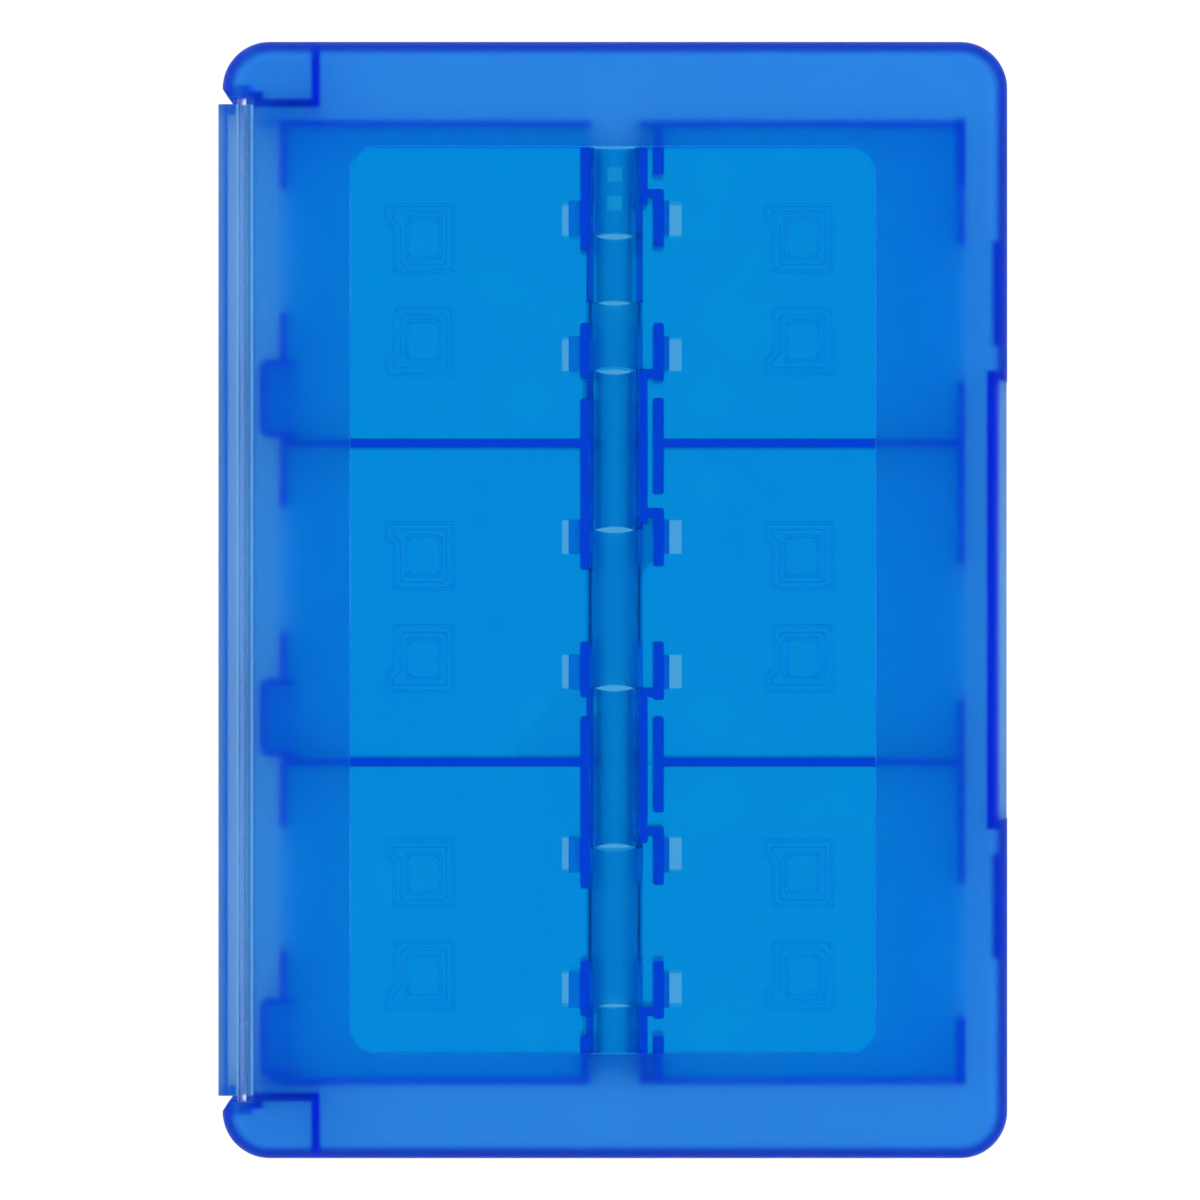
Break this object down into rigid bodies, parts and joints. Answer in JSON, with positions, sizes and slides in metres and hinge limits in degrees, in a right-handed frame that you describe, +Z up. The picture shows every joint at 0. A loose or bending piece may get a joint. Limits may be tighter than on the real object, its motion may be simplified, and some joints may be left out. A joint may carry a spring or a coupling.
{
  "type": "game card case",
  "caption": "Slim translucent blue book-style case: two hinged covers on a spine, holding two double-sided leaves of card pockets with a stylus channel.",
  "frame": {"origin": "middle of the face that the closed case lies on", "axes": "+Z up through the closed case, +Y along the hinge line, -X towards the spine"},
  "size_m": [0.0908, 0.1284, 0.022],
  "materials": {
    "cover": "translucent blue, frosted border and polished window",
    "tray": "translucent blue, polished",
    "spine": "translucent blue, satin",
    "rod": "pale translucent blue"
  },
  "bodies": {
    "rear_cover": {"rear_cover": "cover"},
    "spine": {"spine": "spine", "rear_hinge_rod": "rod", "front_hinge_rod": "rod"},
    "front_cover": {"front_cover": "cover"},
    "rear_tray": {"rear_tray": "tray"},
    "front_tray": {"front_tray": "tray"}
  },
  "joints": [
    {"name": "front_cover_hinge", "type": "hinge", "parent": "spine", "child": "front_cover", "pos_m": [-0.04267, 0, 0.0193], "axis": [0, -1, 0], "range_deg": [0, 90]},
    {"name": "spine_hinge", "type": "hinge", "parent": "rear_cover", "child": "spine", "pos_m": [-0.04267, 0, 0.0027], "axis": [0, -1, 0], "range_deg": [0, 90]},
    {"name": "rear_tray_hinge", "type": "hinge", "parent": "rear_cover", "child": "rear_tray", "pos_m": [-0.03968, 0, 0.0065], "axis": [0, -1, 0], "range_deg": [0, 90]},
    {"name": "front_tray_hinge", "type": "hinge", "parent": "front_cover", "child": "front_tray", "pos_m": [-0.03968, 0, 0.0155], "axis": [0, 1, 0], "range_deg": [0, 90]}
  ],
  "couplings": [
    {"joint": "spine_hinge", "follows": "front_cover_hinge", "ratio": 1},
    {"joint": "rear_tray_hinge", "follows": "front_cover_hinge", "ratio": 1},
    {"joint": "front_tray_hinge", "follows": "front_cover_hinge", "ratio": 1}
  ]
}
